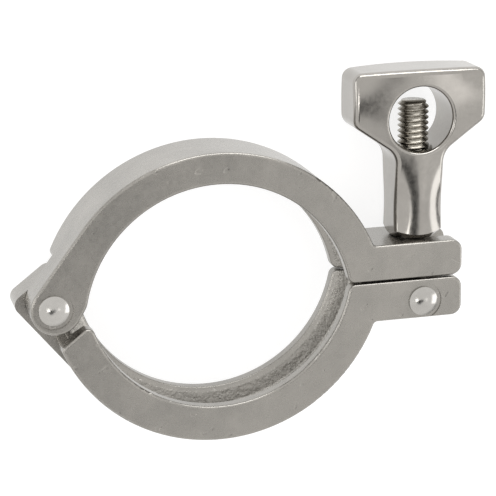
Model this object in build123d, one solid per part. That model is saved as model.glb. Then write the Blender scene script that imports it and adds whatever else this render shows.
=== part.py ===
import math
import os

from build123d import *

os.makedirs("parts", exist_ok=True)

# The origin is the middle of the bore. +Z runs along the pipe, +Y points to the wing nut, and +X from the
# hinge to the bolt. All sizes are in millimetres.

# Ring: the arcs of each half are struck from centres beyond the parting plane
lip_radius = 34.0
upper_lip_drop = 5.6
lower_lip_drop = 5.1
groove_depth = 4.9
rim_wall = 4.3
upper_rim_drop = 6.8
lower_rim_drop = 5.2
ring_depth = 18.6
lip_thickness = 3.2
flange_angle = 20.0
groove_corner = 0.8
parting_gap = 0.45
face_edge_round = 0.7
lip_mouth_round = 0.5
lip_end_round = 2.0

# Hinge, a half lap: the upper half has the near ear and the lower half the far one
hinge_inset = 0.86
near_ear_offset = 0.7
near_ear_radius = 6.4
near_ear_root_round = 5.0
far_ear_flank_angle = 219.0
far_ear_end = 5.4
far_ear_end_angle = 127.0
far_ear_corner = 2.6
far_ear_crown = 7.3
far_ear_crown_round = 3.0
shoulder_distance = 9.0
shoulder_angle = 52.0
shoulder_round = 1.4
shoulder_inner_round = 1.8
lap_gap = 0.3

# Lugs at the bolt
bolt_from_rim = 10.54
lug_beyond_bolt = 10.4
upper_lug_top = 9.5
lower_lug_bottom = 10.5
lug_corner = 2.8
lug_root_round = 1.2
slot_width = 9.0
slot_corner = 0.8

# Pins
pin_radius = 2.25
pin_clearance = 0.05
pin_head_radius = 3.75
pin_head_rim = 0.45
pin_head_height = 1.55
pin_head_gap = 0.02
spot_face_radius = 4.85
spot_face_depth = 0.3
pin_tail_radius = 3.1
pin_tail_depth = 0.9
pin_tail_inset = 0.05

# Swing bolt
bolt_pin_drop = 6.0
bolt_length = 50.6
bolt_radius = 3.97
bolt_tip_chamfer = 1.0
eye_radius = 4.4
eye_width = 8.4
eye_room = 0.8

# Wing nut, with heights from its bearing face
nut_lift = 0.2
nut_height = 43.6
nut_thickness = 14.0
shank_half_width = 6.35
shank_side_thickness = 10.6
head_half_width = 17.5
head_side_thickness = 10.2
head_top_rise = 0.5
head_corner_height = 29.9
head_slope = 35.0
head_corner_round = 3.2
head_top_round = 2.6
neck_round = 5.0
crown_start = 15.0
crown_end = 27.0
nut_edge_round = 1.5
bearing_radius = 5.8
window_radius = 8.4
window_height = 30.9
window_edge_round = 0.8
thread_clearance = 0.08

rim_radius = lip_radius + groove_depth + rim_wall
groove_radius = lip_radius + groove_depth
rim_reach = math.sqrt(rim_radius**2 - upper_rim_drop**2)
half_depth = ring_depth / 2
half_gap = parting_gap / 2
hinge_x = hinge_inset - rim_reach
bolt_x = rim_reach + bolt_from_rim
lug_start = rim_reach - rim_wall
lug_end = bolt_x + lug_beyond_bolt
far = 200.0
whole_side = (Align.CENTER, Align.CENTER, Align.MIN)


def toward(angle):
    return Vector(math.cos(math.radians(angle)), math.sin(math.radians(angle)))


def half_plane(point, angle):
    """Everything on the side of a line that `angle` points away from."""
    middle = point - toward(angle) * (far / 2)
    return Pos(middle.X, middle.Y) * Rot(0, 0, angle) * Rectangle(far, 2 * far)


def round_corner(profile, x, y, radius):
    """Rounds the corner of a flat outline that is nearest to a point."""
    return fillet(profile.vertices().sort_by_distance(Vector(x, y))[0], radius)


def slab(profile, z_from, z_to):
    return extrude(Pos(0, 0, z_from) * profile, z_to - z_from)


hinge = Vector(hinge_x, 0)
rim_centre = Vector(0, -upper_rim_drop)
lower_rim_centre = Vector(0, lower_rim_drop)

# Outlines are drawn as for an upper half, and the lower half's are turned over.
above_parting = half_plane(Vector(0, half_gap), -90)
upper_lip_disc = Pos(0, -upper_lip_drop) * Circle(lip_radius)
lower_lip_disc = Pos(0, lower_lip_drop) * Circle(lip_radius)


def arch(rim_drop, lip_drop):
    ring = Pos(0, -rim_drop) * Circle(rim_radius) - Pos(0, -lip_drop) * Circle(lip_radius)
    return ring & above_parting


def lug(height):
    middle = Pos((lug_start + lug_end) / 2, (half_gap + height) / 2)
    outline = middle * Rectangle(lug_end - lug_start, height - half_gap)
    outline = round_corner(outline, lug_end, height, lug_corner)
    return round_corner(outline, lug_end, half_gap, lug_corner)


def with_lug(outline, height, rim_drop):
    joined = outline + lug(height)
    root_x = math.sqrt(rim_radius**2 - (height + rim_drop) ** 2)
    joined = round_corner(joined, root_x, height, lug_root_round)
    return round_corner(joined, lip_radius, half_gap, lip_end_round)


def stopped_arch(rim_drop, lip_drop):
    """An arch that ends at a shoulder, short of the other half's ear."""
    shoulder = half_plane(hinge + toward(shoulder_angle) * shoulder_distance, shoulder_angle)
    outline = arch(rim_drop, lip_drop) - shoulder
    outline = fillet(outline.vertices().sort_by(Axis.X)[0], shoulder_round)
    left = outline.vertices().filter_by(lambda v: v.X < 0)
    return fillet(left.sort_by(Axis.Y)[0], shoulder_inner_round)


upper_arch = arch(upper_rim_drop, upper_lip_drop)
lower_arch = arch(lower_rim_drop, lower_lip_drop)
upper_stopped = stopped_arch(upper_rim_drop, upper_lip_drop)
lower_stopped = stopped_arch(lower_rim_drop, lower_lip_drop)

# Near ear: a round end blended to the rim by a straight flank.
ear_centre = Vector(hinge_x + near_ear_offset, 0)
between = ear_centre - rim_centre
lean = math.degrees(math.acos((rim_radius - near_ear_radius) / between.length))
flank_angle = math.degrees(math.atan2(between.Y, between.X)) - lean
flank_top = rim_centre + toward(flank_angle) * rim_radius
flank_foot = ear_centre + toward(flank_angle) * near_ear_radius
inner_top = rim_centre + toward(flank_angle) * groove_radius
ear_web = make_face(Polyline(flank_top, flank_foot, ear_centre, inner_top, close=True))
lip_end_x = -math.sqrt(lip_radius**2 - (half_gap + upper_lip_drop) ** 2)
lip_end = Vector(lip_end_x, half_gap) - ear_centre
throat_lean = math.degrees(math.acos(near_ear_radius / lip_end.length))
throat_angle = math.degrees(math.atan2(lip_end.Y, lip_end.X)) - throat_lean
throat_foot = ear_centre + toward(throat_angle) * near_ear_radius
ear_throat = make_face(Polyline(ear_centre, throat_foot, ear_centre + lip_end, inner_top, close=True))
near_ear = Pos(ear_centre.X, 0) * Circle(near_ear_radius) + ear_web + ear_throat
upper_near = round_corner(upper_arch + near_ear, lip_end_x, half_gap, near_ear_root_round)

# Far ear, drawn in its own place on the lower half: its flank is tangent to the rim, and its end is squarer.
tangent_point = lower_rim_centre + toward(far_ear_flank_angle) * rim_radius
flank_side = half_plane(tangent_point, far_ear_flank_angle)
end_side = half_plane(hinge + toward(far_ear_end_angle) * far_ear_end, far_ear_end_angle)
crown_side = half_plane(hinge + toward(shoulder_angle) * far_ear_crown, shoulder_angle)
ear_reach = Pos(hinge_x, 0) * Circle((tangent_point - hinge).length)
far_ear = (ear_reach & flank_side & end_side & crown_side) - lower_lip_disc
far_ear = fillet(far_ear.vertices().sort_by(Axis.X)[0], far_ear_corner)
far_ear = fillet(far_ear.vertices().sort_by(Axis.Y)[-1], far_ear_crown_round)

lap = lap_gap / 2
upper_near = with_lug(upper_near, upper_lug_top, upper_rim_drop)
upper_far = with_lug(upper_stopped, upper_lug_top, upper_rim_drop)
lower_near = mirror(with_lug(lower_stopped, lower_lug_bottom, lower_rim_drop), Plane.XZ)
lower_far = mirror(with_lug(lower_arch, lower_lug_bottom, lower_rim_drop), Plane.XZ) + far_ear


def round_faces(half):
    """Rounds the edges of the two flat faces."""
    faces = half.faces().filter_by(Axis.Z).sort_by(Axis.Z)
    return fillet(faces[0].edges() + faces[-1].edges(), face_edge_round)


upper_half = round_faces(slab(upper_near, lap, half_depth) + slab(upper_far, -half_depth, lap))
lower_half = round_faces(slab(lower_near, -lap, half_depth) + slab(lower_far, -half_depth, -lap))

# Groove for the two pipe flanges, with sloping cheeks.
slope = math.tan(math.radians(flange_angle))
mouth = half_depth - lip_thickness
floor = mouth - groove_depth * slope
throat_radius = lip_radius - groove_depth
throat = mouth + groove_depth * slope
groove_section = make_face(
    Polyline(
        (throat_radius, 0, -throat),
        (groove_radius, 0, -floor),
        (groove_radius, 0, floor),
        (throat_radius, 0, throat),
        close=True,
    )
)
groove = revolve(groove_section, Axis.Z)
circles = groove.edges().filter_by(GeomType.CIRCLE)
groove = fillet(circles.filter_by(lambda e: abs(e.radius - groove_radius) < 0.01), groove_corner)


def cut_groove(half, centre_y, rounded_lips):
    """Cuts the groove and rounds the edge of its mouth on the near lip (1), the far lip (-1) or both."""
    half -= Pos(0, centre_y, 0) * groove
    arcs = half.edges().filter_by(GeomType.CIRCLE).filter_by(lambda e: abs(e.radius - lip_radius) < 0.01)
    for lip in rounded_lips:
        half = fillet(arcs.filter_by(lambda e: abs(e.center().Z - lip * mouth) < 0.01), lip_mouth_round)
    return half


# The near lip of the upper half runs on into the ear, so its mouth stays sharp.
upper_half = cut_groove(upper_half, -upper_lip_drop, (-1,))
lower_half = cut_groove(lower_half, lower_lip_drop, (-1, 1))

# Slot for the bolt, open at the outer end of both lugs.
slot_end = bolt_x - eye_radius - eye_room
slot = Pos(slot_end + far / 2, 0, 0) * Box(far, far, slot_width)
slot = fillet(slot.edges().filter_by(Axis.Y).group_by(Axis.X)[0], slot_corner)
upper_half -= slot
lower_half -= slot


def pin_hole(x, y):
    """Clearance hole with a spot face under the head and a countersink for the closed tail."""
    radius = pin_radius + pin_clearance
    hole = Cylinder(radius, far)
    hole += Pos(0, 0, half_depth - spot_face_depth) * Cylinder(spot_face_radius, ring_depth, align=whole_side)
    hole += Pos(0, 0, -half_depth) * Cone(pin_tail_radius + pin_clearance, radius, pin_tail_depth, align=whole_side)
    return Pos(x, y, 0) * hole


def rivet(x, y):
    """Pin with a low domed head at the near end and a flush closed tail at the far one."""
    seat = half_depth - spot_face_depth + pin_head_gap
    tail_end = pin_tail_inset - half_depth
    top = seat + pin_head_height
    shoulder_z = seat + pin_head_rim
    outline = Polyline(
        (0, 0, top),
        (0, 0, tail_end),
        (pin_tail_radius - pin_tail_inset, 0, tail_end),
        (pin_radius, 0, tail_end + pin_tail_depth),
        (pin_radius, 0, seat),
        (pin_head_radius, 0, seat),
        (pin_head_radius, 0, shoulder_z),
    )
    rise = top - shoulder_z
    dome_radius = (pin_head_radius**2 + rise**2) / (2 * rise)
    half_way = pin_head_radius / 2
    crown_z = top - dome_radius + math.sqrt(dome_radius**2 - half_way**2)
    dome = ThreePointArc((pin_head_radius, 0, shoulder_z), (half_way, 0, crown_z), (0, 0, top))
    return Pos(x, y, 0) * revolve(make_face(outline + dome), Axis.Z)


upper_half -= pin_hole(hinge_x, 0)
lower_half -= pin_hole(hinge_x, 0)
lower_half -= pin_hole(bolt_x, -bolt_pin_drop)
hinge_pin = rivet(hinge_x, 0)
bolt_pin = rivet(bolt_x, -bolt_pin_drop)

# Swing bolt, drawn plain at the outside of its thread
stem = Rot(-90, 0, 0) * Cylinder(bolt_radius, bolt_length, align=whole_side)
stem = chamfer(stem.edges().sort_by(Axis.Y)[-1], bolt_tip_chamfer)
swing_bolt = stem + Cylinder(eye_radius, eye_width)
swing_bolt -= Cylinder(pin_radius + pin_clearance, far)
swing_bolt = Pos(bolt_x, -bolt_pin_drop, 0) * swing_bolt


# Wing nut
def crowned_section(half_width, side_thickness, at_width, height):
    """Cross-section across the nut: flat sides, and faces crowned to side_thickness at at_width."""
    sag = (nut_thickness - side_thickness) / 2
    radius = (at_width**2 + sag**2) / (2 * sag)
    side_z = nut_thickness / 2 - radius + math.sqrt(radius**2 - half_width**2)
    corners = [(x, height, z) for x, z in ((-half_width, side_z), (half_width, side_z))]
    below = [(x, height, -z) for x, y, z in corners]
    top, bottom = (0, height, nut_thickness / 2), (0, height, -nut_thickness / 2)
    front = ThreePointArc(corners[0], top, corners[1])
    rear = ThreePointArc(below[1], bottom, below[0])
    return make_face(front + Line(corners[1], below[1]) + rear + Line(below[0], corners[0]))


neck_height = head_corner_height - (head_half_width - shank_half_width) * math.tan(math.radians(head_slope))
head_side_top = nut_height - head_top_rise
sides = Polyline(
    (-head_half_width, head_side_top),
    (-head_half_width, head_corner_height),
    (-shank_half_width, neck_height),
    (-shank_half_width, 0),
    (shank_half_width, 0),
    (shank_half_width, neck_height),
    (head_half_width, head_corner_height),
    (head_half_width, head_side_top),
)
top_arc = ThreePointArc((head_half_width, head_side_top), (0, nut_height), (-head_half_width, head_side_top))
nut_outline = make_face(sides + top_arc)
for side in (-1, 1):
    nut_outline = round_corner(nut_outline, side * shank_half_width, neck_height, neck_round)
    nut_outline = round_corner(nut_outline, side * head_half_width, head_corner_height, head_corner_round)
    nut_outline = round_corner(nut_outline, side * head_half_width, head_side_top, head_top_round)

sections = []
for height in (-nut_thickness, 0, crown_start):
    sections.append(crowned_section(1.6 * shank_half_width, shank_side_thickness, shank_half_width, height))
for height in (crown_end, nut_height, nut_height + nut_thickness):
    sections.append(crowned_section(1.02 * head_half_width, head_side_thickness, head_half_width, height))
crown = loft(sections)
wing_nut = slab(nut_outline, -nut_thickness, nut_thickness) & crown
side_faces = wing_nut.faces().filter_by(lambda f: abs(f.normal_at().Z) < 0.01 and f.center().Y > 0.01)
rims = side_faces.edges() - wing_nut.edges().filter_by(Axis.Z)
rims = rims.filter_by(lambda e: e.center().Y > 0.01)
wing_nut = fillet(rims, nut_edge_round)
cone = Cone(bearing_radius, bearing_radius + nut_thickness, nut_thickness, align=whole_side)
foot_trim = Box(far, far, nut_thickness, align=whole_side) - cone
wing_nut -= Rot(-90, 0, 0) * foot_trim
wing_nut -= Pos(0, window_height, 0) * Cylinder(window_radius, far)
window_faces = wing_nut.faces().filter_by(GeomType.CYLINDER).filter_by(lambda f: abs(f.radius - window_radius) < 0.01)
window_rims = window_faces.edges() - wing_nut.edges().filter_by(Axis.Z)
wing_nut = fillet(window_rims, window_edge_round)
wing_nut -= Rot(-90, 0, 0) * Cylinder(bolt_radius + thread_clearance, window_height, align=whole_side)
wing_nut = Pos(bolt_x, upper_lug_top + nut_lift, 0) * wing_nut

export_step(upper_half, "parts/upper_half.step")
export_step(lower_half, "parts/lower_half.step")
export_step(hinge_pin, "parts/hinge_pin.step")
export_step(bolt_pin, "parts/bolt_pin.step")
export_step(swing_bolt, "parts/swing_bolt.step")
export_step(wing_nut, "parts/wing_nut.step")
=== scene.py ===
"""Looks of the sanitary hinged clamp: satin cast steel, turned pins and a threaded swing bolt, lying on a
pale floor in soft studio light. All lengths are in metres and come from the CAD frame where it has them."""

import math

import bmesh
import bpy
from mathutils import Matrix, Vector


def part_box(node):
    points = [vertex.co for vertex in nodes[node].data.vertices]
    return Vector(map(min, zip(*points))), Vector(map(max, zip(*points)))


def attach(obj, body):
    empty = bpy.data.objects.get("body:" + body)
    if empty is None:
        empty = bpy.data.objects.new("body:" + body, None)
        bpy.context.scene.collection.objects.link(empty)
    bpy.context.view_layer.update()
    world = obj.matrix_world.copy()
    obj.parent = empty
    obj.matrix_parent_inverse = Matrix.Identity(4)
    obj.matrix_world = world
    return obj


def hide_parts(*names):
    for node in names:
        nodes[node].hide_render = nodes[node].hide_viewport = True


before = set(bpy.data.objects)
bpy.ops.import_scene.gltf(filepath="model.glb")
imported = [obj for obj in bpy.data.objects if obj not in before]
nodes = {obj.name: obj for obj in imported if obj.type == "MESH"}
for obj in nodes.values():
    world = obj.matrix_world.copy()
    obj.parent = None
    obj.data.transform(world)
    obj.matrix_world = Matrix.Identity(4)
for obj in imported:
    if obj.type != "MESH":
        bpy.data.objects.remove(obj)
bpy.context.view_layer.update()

MM = 0.001

# Camera
VIEW_DIRECTION = Vector((-0.2410, 0.2675, 0.9329))
VIEW_DISTANCE = 488.8 * MM
VIEW_TARGET = Vector((9.5, 9.2, 0.0)) * MM
PICTURE_UP = Vector((0.0137, 1.0, 0.0))
LENS = 140.5

# Swing bolt
THREAD_PITCH = 1.411 * MM
THREAD_DEPTH = 0.80 * MM
CREST_RADIUS = 3.95 * MM
THREAD_START = 8.5 * MM
TIP_CHAMFER = 0.95 * MM
THREAD_MARKS = (0.0, 0.07, 0.43, 0.5, 0.57, 0.93)
ROOT_SHARE = 0.14
FLANK_SHARE = 0.72
EYE_BORE = 2.3 * MM
EYE_EDGE = 0.5 * MM

# Rough skin left in the flange groove, and small dents
ARC_DROP = 5.35 * MM
GROOVE_REACH = 40.3 * MM
GROOVE_HALF_WIDTH = 5.9 * MM
SKIN_FADE = 0.3 * MM
SKIN_DEPTH = 0.30 * MM
DENT_DEPTH = 0.05 * MM


# Materials


class Shader:
    """A Principled material with short calls for its inputs, in metres of the object's own frame."""

    def __init__(self, name):
        self.material = bpy.data.materials.new(name)
        self.material.use_nodes = True
        self.tree = self.material.node_tree
        self.surface = self.tree.nodes["Principled BSDF"]
        self.place = self.tree.nodes.new("ShaderNodeTexCoord").outputs["Object"]

    def noise(self, size, detail=2.0, roughness=0.5):
        node = self.tree.nodes.new("ShaderNodeTexNoise")
        node.inputs["Scale"].default_value = 1 / size
        node.inputs["Detail"].default_value = detail
        node.inputs["Roughness"].default_value = roughness
        self.tree.links.new(self.place, node.inputs["Vector"])
        return node.outputs["Fac"]

    def coordinates(self):
        node = self.tree.nodes.new("ShaderNodeSeparateXYZ")
        self.tree.links.new(self.place, node.inputs["Vector"])
        return node.outputs["X"], node.outputs["Y"], node.outputs["Z"]

    def remap(self, value, low, high, to_low, to_high):
        node = self.tree.nodes.new("ShaderNodeMapRange")
        node.inputs["From Min"].default_value = low
        node.inputs["From Max"].default_value = high
        node.inputs["To Min"].default_value = to_low
        node.inputs["To Max"].default_value = to_high
        self.tree.links.new(value, node.inputs["Value"])
        return node.outputs["Result"]

    def math(self, operation, first, second):
        node = self.tree.nodes.new("ShaderNodeMath")
        node.operation = operation
        for socket, value in zip(node.inputs, (first, second)):
            if isinstance(value, (int, float)):
                socket.default_value = value
            else:
                self.tree.links.new(value, socket)
        return node.outputs["Value"]

    def blend(self, factor, dark, pale):
        node = self.tree.nodes.new("ShaderNodeMix")
        node.data_type = "RGBA"
        node.inputs["A"].default_value = (*dark, 1)
        node.inputs["B"].default_value = (*pale, 1)
        self.tree.links.new(factor, node.inputs["Factor"])
        return node.outputs["Result"]

    def bump(self, height, depth, strength=1.0):
        node = self.tree.nodes.new("ShaderNodeBump")
        node.inputs["Distance"].default_value = depth
        node.inputs["Strength"].default_value = strength
        self.tree.links.new(height, node.inputs["Height"])
        return node.outputs["Normal"]

    def set(self, **sockets):
        names = {"colour": "Base Color", "metallic": "Metallic", "roughness": "Roughness", "normal": "Normal"}
        for key, value in sockets.items():
            socket = self.surface.inputs[names[key]]
            if isinstance(value, bpy.types.NodeSocket):
                self.tree.links.new(value, socket)
            else:
                socket.default_value = value


def in_groove(shader):
    """1 on the walls of the flange groove and 0 elsewhere, with one arc for both halves."""
    x, y, z = shader.coordinates()
    rise = shader.math("ADD", shader.math("ABSOLUTE", y, 0), ARC_DROP)
    square = shader.math("ADD", shader.math("MULTIPLY", x, x), shader.math("MULTIPLY", rise, rise))
    reach = shader.math("SQRT", square, 0)
    depth = shader.math("ABSOLUTE", z, 0)
    inside = shader.remap(reach, GROOVE_REACH, GROOVE_REACH + SKIN_FADE, 1, 0)
    between = shader.remap(depth, GROOVE_HALF_WIDTH - SKIN_FADE, GROOVE_HALF_WIDTH, 1, 0)
    return shader.math("MULTIPLY", inside, between)


def steel(name, dark, pale, smooth, rough, grain, ripple, cast=False):
    """Stainless steel: a slow drift in tone, a fine peened grain and shallow ripples left by polishing.

    A casting keeps its rough skin in the groove, and has a few small dents.
    """
    shader = Shader(name)
    drift = shader.noise(14 * MM, 3.0, 0.6)
    mottle = shader.noise(1.1 * MM, 4.0, 0.6)
    peen = shader.noise(0.28 * MM, 3.0, 0.55)
    wave = shader.noise(5.5 * MM, 1.0, 0.4)
    tone = shader.math("ADD", shader.math("MULTIPLY", drift, 0.7), shader.math("MULTIPLY", mottle, 0.3))
    fine = shader.math("MULTIPLY", peen, grain / MM)
    height = shader.math("ADD", fine, shader.math("MULTIPLY", wave, ripple / MM))
    if cast:
        groove = in_groove(shader)
        skin = shader.math("MULTIPLY", shader.noise(1.3 * MM, 4.0, 0.65), groove)
        height = shader.math("ADD", height, shader.math("MULTIPLY", skin, SKIN_DEPTH / MM))
        pits = shader.remap(shader.noise(2.6 * MM, 0.0, 0.0), 0.17, 0.22, -DENT_DEPTH / MM, 0)
        height = shader.math("ADD", height, pits)
    shader.set(
        colour=shader.blend(shader.remap(tone, 0.35, 0.65, 0, 1), dark, pale),
        metallic=1.0,
        roughness=shader.remap(mottle, 0.3, 0.7, smooth, rough),
        normal=shader.bump(height, MM),
    )
    return shader.material


def dress(node, material):
    nodes[node].data.materials.clear()
    nodes[node].data.materials.append(material)


cast_steel = steel(
    "cast_steel", (0.32, 0.31, 0.29), (0.385, 0.37, 0.345), 0.25, 0.30, 0.0012 * MM, 0.06 * MM, cast=True
)
nut_steel = steel("nut_steel", (0.35, 0.335, 0.315), (0.41, 0.395, 0.37), 0.14, 0.20, 0.001 * MM, 0.03 * MM)
pin_steel = steel("pin_steel", (0.46, 0.45, 0.43), (0.54, 0.53, 0.51), 0.14, 0.22, 0.002 * MM, 0.0)
thread_steel = steel("thread_steel", (0.34, 0.32, 0.28), (0.46, 0.44, 0.40), 0.18, 0.30, 0.004 * MM, 0.0)

for half in ("upper_half", "lower_half"):
    dress(half, cast_steel)
for pin in ("hinge_pin", "bolt_pin"):
    dress(pin, pin_steel)
dress("wing_nut", nut_steel)


# Swing bolt


def mesh_piece(name, build, material):
    """A mesh object whose shape `build` adds to an empty bmesh."""
    shape = bmesh.new()
    build(shape)
    bmesh.ops.remove_doubles(shape, verts=shape.verts, dist=0.001 * MM)
    bmesh.ops.dissolve_degenerate(shape, edges=shape.edges, dist=0.001 * MM)
    bmesh.ops.recalc_face_normals(shape, faces=shape.faces)
    mesh = bpy.data.meshes.new(name)
    shape.to_mesh(mesh)
    shape.free()
    for face in mesh.polygons:
        face.use_smooth = True
    mesh.materials.append(material)
    piece = bpy.data.objects.new(name, mesh)
    bpy.context.scene.collection.objects.link(piece)
    return piece


def rows_to_faces(shape, rows, closed):
    """Joins rows of vertices with quads; `closed` also joins each row's last vertex to its first."""
    for row, after in zip(rows, rows[1:]):
        count = len(row)
        for i in range(count if closed else count - 1):
            j = (i + 1) % count
            shape.faces.new((row[i], row[j], after[j], after[i]))


def lathe(shape, outline, place, steps=64):
    """Turns (radius, height) points about an axis; an outline starts and ends on it, or is a closed ring."""
    rows = []
    for radius, height in outline:
        ring = []
        for step in range(steps):
            turn = 2 * math.pi * step / steps
            point = Vector((radius * math.cos(turn), radius * math.sin(turn), height))
            ring.append(shape.verts.new(place @ point))
        rows.append(ring)
    rows_to_faces(shape, rows, closed=True)


def round_bar_edge(radius, height, edge, side):
    """Four points round the edge of a turned piece, from its side to its end or back."""
    points = []
    for step in range(4):
        turn = math.radians(30 * step)
        points.append((radius - edge * (1 - math.cos(turn)), height - side * edge * (1 - math.sin(turn))))
    return points


bolt_low, bolt_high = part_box("swing_bolt")
pin_low, pin_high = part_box("bolt_pin")
bolt_axis_x = (pin_low.x + pin_high.x) / 2
pin_y = (pin_low.y + pin_high.y) / 2
eye_radius = pin_y - bolt_low.y
eye_half_width = (bolt_high.z - bolt_low.z) / 2
tip_y = bolt_high.y
along_bolt = Matrix.Translation((bolt_axis_x, 0, 0)) @ Matrix.Rotation(math.radians(-90), 4, "X")
across_bolt = Matrix.Translation((bolt_axis_x, pin_y, 0))


def thread_radius(height, turn):
    """Radius of the thread at a height and angle, faded out to the shank and cut by the tip's chamfer."""
    phase = (height / THREAD_PITCH - turn / (2 * math.pi)) % 1
    flank = 1 - abs(2 * phase - 1)
    tooth = min(max((flank - ROOT_SHARE) / FLANK_SHARE, 0), 1)
    radius = CREST_RADIUS - THREAD_DEPTH * (1 - tooth)
    fade = min(max((height - THREAD_START) / THREAD_PITCH, 0), 1)
    radius = CREST_RADIUS - (CREST_RADIUS - radius) * fade
    return min(radius, CREST_RADIUS - TIP_CHAMFER + (tip_y - height))


def build_thread(shape, steps=48):
    """The threaded length: its rows of vertices follow the helix, so crests and roots stay sharp."""
    turns = math.ceil((tip_y - THREAD_START) / THREAD_PITCH) + 1
    rows = []
    for tooth in range(-1, turns):
        for mark in THREAD_MARKS:
            row = []
            for step in range(steps + 1):
                turn = 2 * math.pi * step / steps
                height = THREAD_START + (tooth + mark + step / steps) * THREAD_PITCH
                height = min(max(height, THREAD_START), tip_y)
                radius = thread_radius(height, turn)
                point = Vector((radius * math.cos(turn), radius * math.sin(turn), height))
                row.append(shape.verts.new(along_bolt @ point))
            rows.append(row)
    rows_to_faces(shape, rows, closed=False)
    cap_radius = CREST_RADIUS - TIP_CHAMFER
    cap = [(0, tip_y), (cap_radius, tip_y)]
    lathe(shape, cap, along_bolt, steps)
    shank_end = pin_y + EYE_BORE + EYE_EDGE
    shank = [(CREST_RADIUS, THREAD_START), (CREST_RADIUS, shank_end), (0, shank_end)]
    lathe(shape, shank, along_bolt, steps)


def build_eye(shape):
    outside = round_bar_edge(eye_radius, eye_half_width, EYE_EDGE, 1)
    below = [(radius, -height) for radius, height in reversed(outside)]
    inside = [(EYE_BORE, eye_half_width), (EYE_BORE, -eye_half_width)]
    outline = below + outside + inside
    lathe(shape, outline + outline[:1], across_bolt)


thread = mesh_piece("swing_bolt_thread", build_thread, thread_steel)
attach(thread, "swing_bolt")
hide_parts("swing_bolt")
eye = mesh_piece("swing_bolt_eye", build_eye, thread_steel)
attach(eye, "swing_bolt")


# Studio

FLOOR_SIZE = 6.0
FLOOR_GAP = 0.02 * MM


def pale_floor():
    """Matt floor, lit a little from within so that it stays near white under the soft light."""
    shader = Shader("floor_white")
    cloud = shader.noise(60 * MM, 2.0, 0.5)
    colour = shader.blend(cloud, (0.33, 0.33, 0.33), (0.35, 0.35, 0.35))
    shader.set(colour=colour, metallic=0.0, roughness=0.7)
    shader.surface.inputs["Emission Color"].default_value = (1, 1, 1, 1)
    shader.surface.inputs["Emission Strength"].default_value = 0.80
    return shader.material


floor_z = min(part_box(node)[0].z for node in nodes)
bpy.ops.mesh.primitive_plane_add(size=FLOOR_SIZE, location=(0, 0, floor_z - FLOOR_GAP))
floor = bpy.context.object
floor.name = "floor"
floor.data.materials.append(pale_floor())


def soft_light(name, towards, distance, width, height, radiance):
    """A rectangular lamp in a given direction from the object, facing it."""
    lamp = bpy.data.lights.new(name, "AREA")
    lamp.shape = "RECTANGLE"
    lamp.size = width
    lamp.size_y = height
    lamp.energy = radiance * math.pi * width * height
    holder = bpy.data.objects.new(name, lamp)
    place = Vector(towards).normalized() * distance
    holder.location = place
    holder.rotation_euler = place.to_track_quat("Z", "Y").to_euler()
    holder.visible_camera = False
    bpy.context.scene.collection.objects.link(holder)


soft_light("key_above_picture", (0.2, 1.0, 0.30), 1.1, 1.0, 0.35, 4.0)
soft_light("fill_left", (-1.0, 0.15, 0.45), 1.2, 0.6, 0.5, 1.6)
soft_light("fill_right", (1.0, -0.2, 0.45), 1.2, 0.6, 0.5, 1.4)


# Patches of the surroundings: direction, cosine at the outer edge and at the core, and the core's brightness
# against the room
CAMERA_BODY = ((-0.09, -0.27, 0.96), 0.980, 0.992, 0.06)
CAMERA_ARM = ((0.12, -0.19, 0.97), 0.9925, 0.9975, 0.10)
LEFT_LAMP = ((-0.25, -0.13, 0.95), 0.9955, 0.9985, 7.0)
RIGHT_LAMP = ((0.44, -0.12, 0.89), 0.9955, 0.9985, 1.9)
HORIZON_TOP = 0.30
HORIZON_LEVEL = 0.22
ROOM_STRENGTH = 1.0


def studio_world():
    """A grey soft room, darker at the horizon, with the dark camera and two small lamps overhead."""
    world = bpy.data.worlds.new("studio")
    world.use_nodes = True
    tree = world.node_tree
    place = tree.nodes.new("ShaderNodeTexCoord").outputs["Generated"]

    def smooth_step(value, low, high, to_low, to_high):
        node = tree.nodes.new("ShaderNodeMapRange")
        node.interpolation_type = "SMOOTHSTEP"
        for socket, number in zip(("From Min", "From Max", "To Min", "To Max"), (low, high, to_low, to_high)):
            node.inputs[socket].default_value = number
        tree.links.new(value, node.inputs["Value"])
        return node.outputs["Result"]

    def times(first, second):
        node = tree.nodes.new("ShaderNodeMath")
        node.operation = "MULTIPLY"
        tree.links.new(first, node.inputs[0])
        if isinstance(second, float):
            node.inputs[1].default_value = second
        else:
            tree.links.new(second, node.inputs[1])
        return node.outputs["Value"]

    split = tree.nodes.new("ShaderNodeSeparateXYZ")
    tree.links.new(place, split.inputs["Vector"])
    level = times(smooth_step(split.outputs["Z"], 0.0, HORIZON_TOP, HORIZON_LEVEL, 1.0), ROOM_STRENGTH)
    for direction, edge, core, brightness in (CAMERA_BODY, CAMERA_ARM, LEFT_LAMP, RIGHT_LAMP):
        dot = tree.nodes.new("ShaderNodeVectorMath")
        dot.operation = "DOT_PRODUCT"
        dot.inputs[1].default_value = Vector(direction).normalized()
        tree.links.new(place, dot.inputs[0])
        level = times(level, smooth_step(dot.outputs["Value"], edge, core, 1.0, brightness))
    background = tree.nodes["Background"]
    background.inputs["Color"].default_value = (1.0, 0.985, 0.965, 1)
    tree.links.new(level, background.inputs["Strength"])
    return world


bpy.context.scene.world = studio_world()
bpy.context.scene.view_settings.view_transform = "Standard"

camera_data = bpy.data.cameras.new("camera")
camera_data.lens = LENS
camera = bpy.data.objects.new("camera", camera_data)
back = VIEW_DIRECTION.normalized()
right = PICTURE_UP.cross(back).normalized()
up = back.cross(right)
turned = Matrix((right, up, back)).transposed().to_4x4()
camera.matrix_world = Matrix.Translation(VIEW_TARGET + back * VIEW_DISTANCE) @ turned
bpy.context.scene.collection.objects.link(camera)
bpy.context.scene.camera = camera
